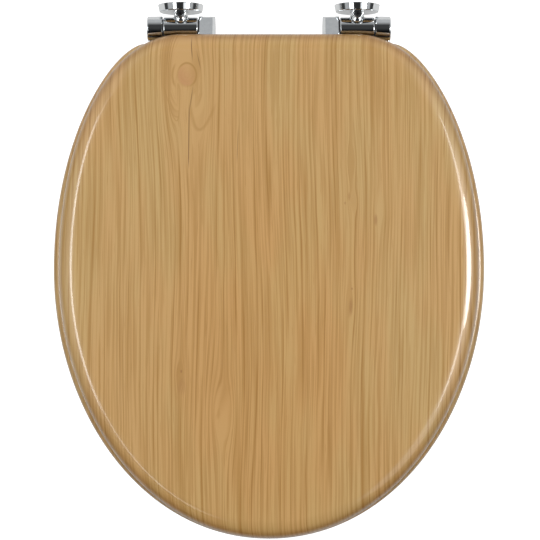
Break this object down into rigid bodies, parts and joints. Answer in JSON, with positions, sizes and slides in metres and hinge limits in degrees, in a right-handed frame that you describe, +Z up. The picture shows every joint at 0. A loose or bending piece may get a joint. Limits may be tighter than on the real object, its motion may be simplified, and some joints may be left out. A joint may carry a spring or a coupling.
{
  "type": "toilet seat",
  "caption": "Egg-shaped wooden toilet seat: a rounded lid closed over an open ring, on chrome soft-close hinges with round-footed pillars folded back.",
  "frame": {"origin": "middle of the closed seat's box, at the level that the ring's buffers stand on", "axes": "+X to the right, +Y to the rear where the hinges are, +Z up through the lid"},
  "size_m": [0.379, 0.47, 0.045],
  "materials": {
    "lid_wood": "clear lacquer over straight-grained light oak",
    "ring_wood": "clear lacquer over straight-grained light oak",
    "pillar_chrome": "polished chrome on a zinc casting",
    "arm_chrome": "polished chrome on a zinc casting",
    "gasket_rubber": "matt black",
    "lock_screw_steel": "blackened steel",
    "damper_plastic": "black moulded",
    "shaft_steel": "ground",
    "bush_plastic": "black moulded",
    "screw_steel": "zinc plated",
    "buffer_plastic": "soft pale grey"
  },
  "bodies": {
    "seat": {"seat_ring": "ring_wood", "seat_buffer_screws": "screw_steel", "seat_buffer_front_left": "buffer_plastic", "seat_buffer_rear_left": "buffer_plastic", "left_seat_arm": "arm_chrome", "left_seat_arm_screws": "screw_steel", "seat_buffer_front_right": "buffer_plastic", "seat_buffer_rear_right": "buffer_plastic", "right_seat_arm": "arm_chrome", "right_seat_arm_screws": "screw_steel", "left_pivot_bush": "bush_plastic", "right_damper_shaft": "shaft_steel"},
    "lid": {"lid": "lid_wood", "lid_buffer_screws": "screw_steel", "lid_buffer_left": "buffer_plastic", "left_lid_arm": "arm_chrome", "left_lid_arm_screws": "screw_steel", "lid_buffer_right": "buffer_plastic", "right_lid_arm": "arm_chrome", "right_lid_arm_screws": "screw_steel", "right_pivot_bush": "bush_plastic", "left_damper_shaft": "shaft_steel"},
    "left_pillar": {"left_hinge_pillar": "pillar_chrome", "left_base_gasket": "gasket_rubber", "left_lock_screw": "lock_screw_steel", "left_damper_body": "damper_plastic", "left_damper_cap": "damper_plastic", "left_damper_seal": "gasket_rubber", "left_pivot_pin": "shaft_steel", "left_thrust_washer": "bush_plastic"},
    "right_pillar": {"right_hinge_pillar": "pillar_chrome", "right_base_gasket": "gasket_rubber", "right_lock_screw": "lock_screw_steel", "right_damper_body": "damper_plastic", "right_damper_cap": "damper_plastic", "right_damper_seal": "gasket_rubber", "right_pivot_pin": "shaft_steel", "right_thrust_washer": "bush_plastic"}
  },
  "joints": [
    {"name": "lid_lift", "type": "hinge", "parent": "seat", "child": "lid", "pos_m": [0, 0.214, 0.021], "axis": [-1, 0, 0], "range_deg": [0, 53]},
    {"name": "left_pillar_swing", "type": "hinge", "parent": "seat", "child": "left_pillar", "pos_m": [-0.0775, 0.214, 0.021], "axis": [-1, 0, 0], "range_deg": [0, 90]},
    {"name": "right_pillar_swing", "type": "hinge", "parent": "seat", "child": "right_pillar", "pos_m": [0.0775, 0.214, 0.021], "axis": [-1, 0, 0], "range_deg": [0, 90]}
  ]
}
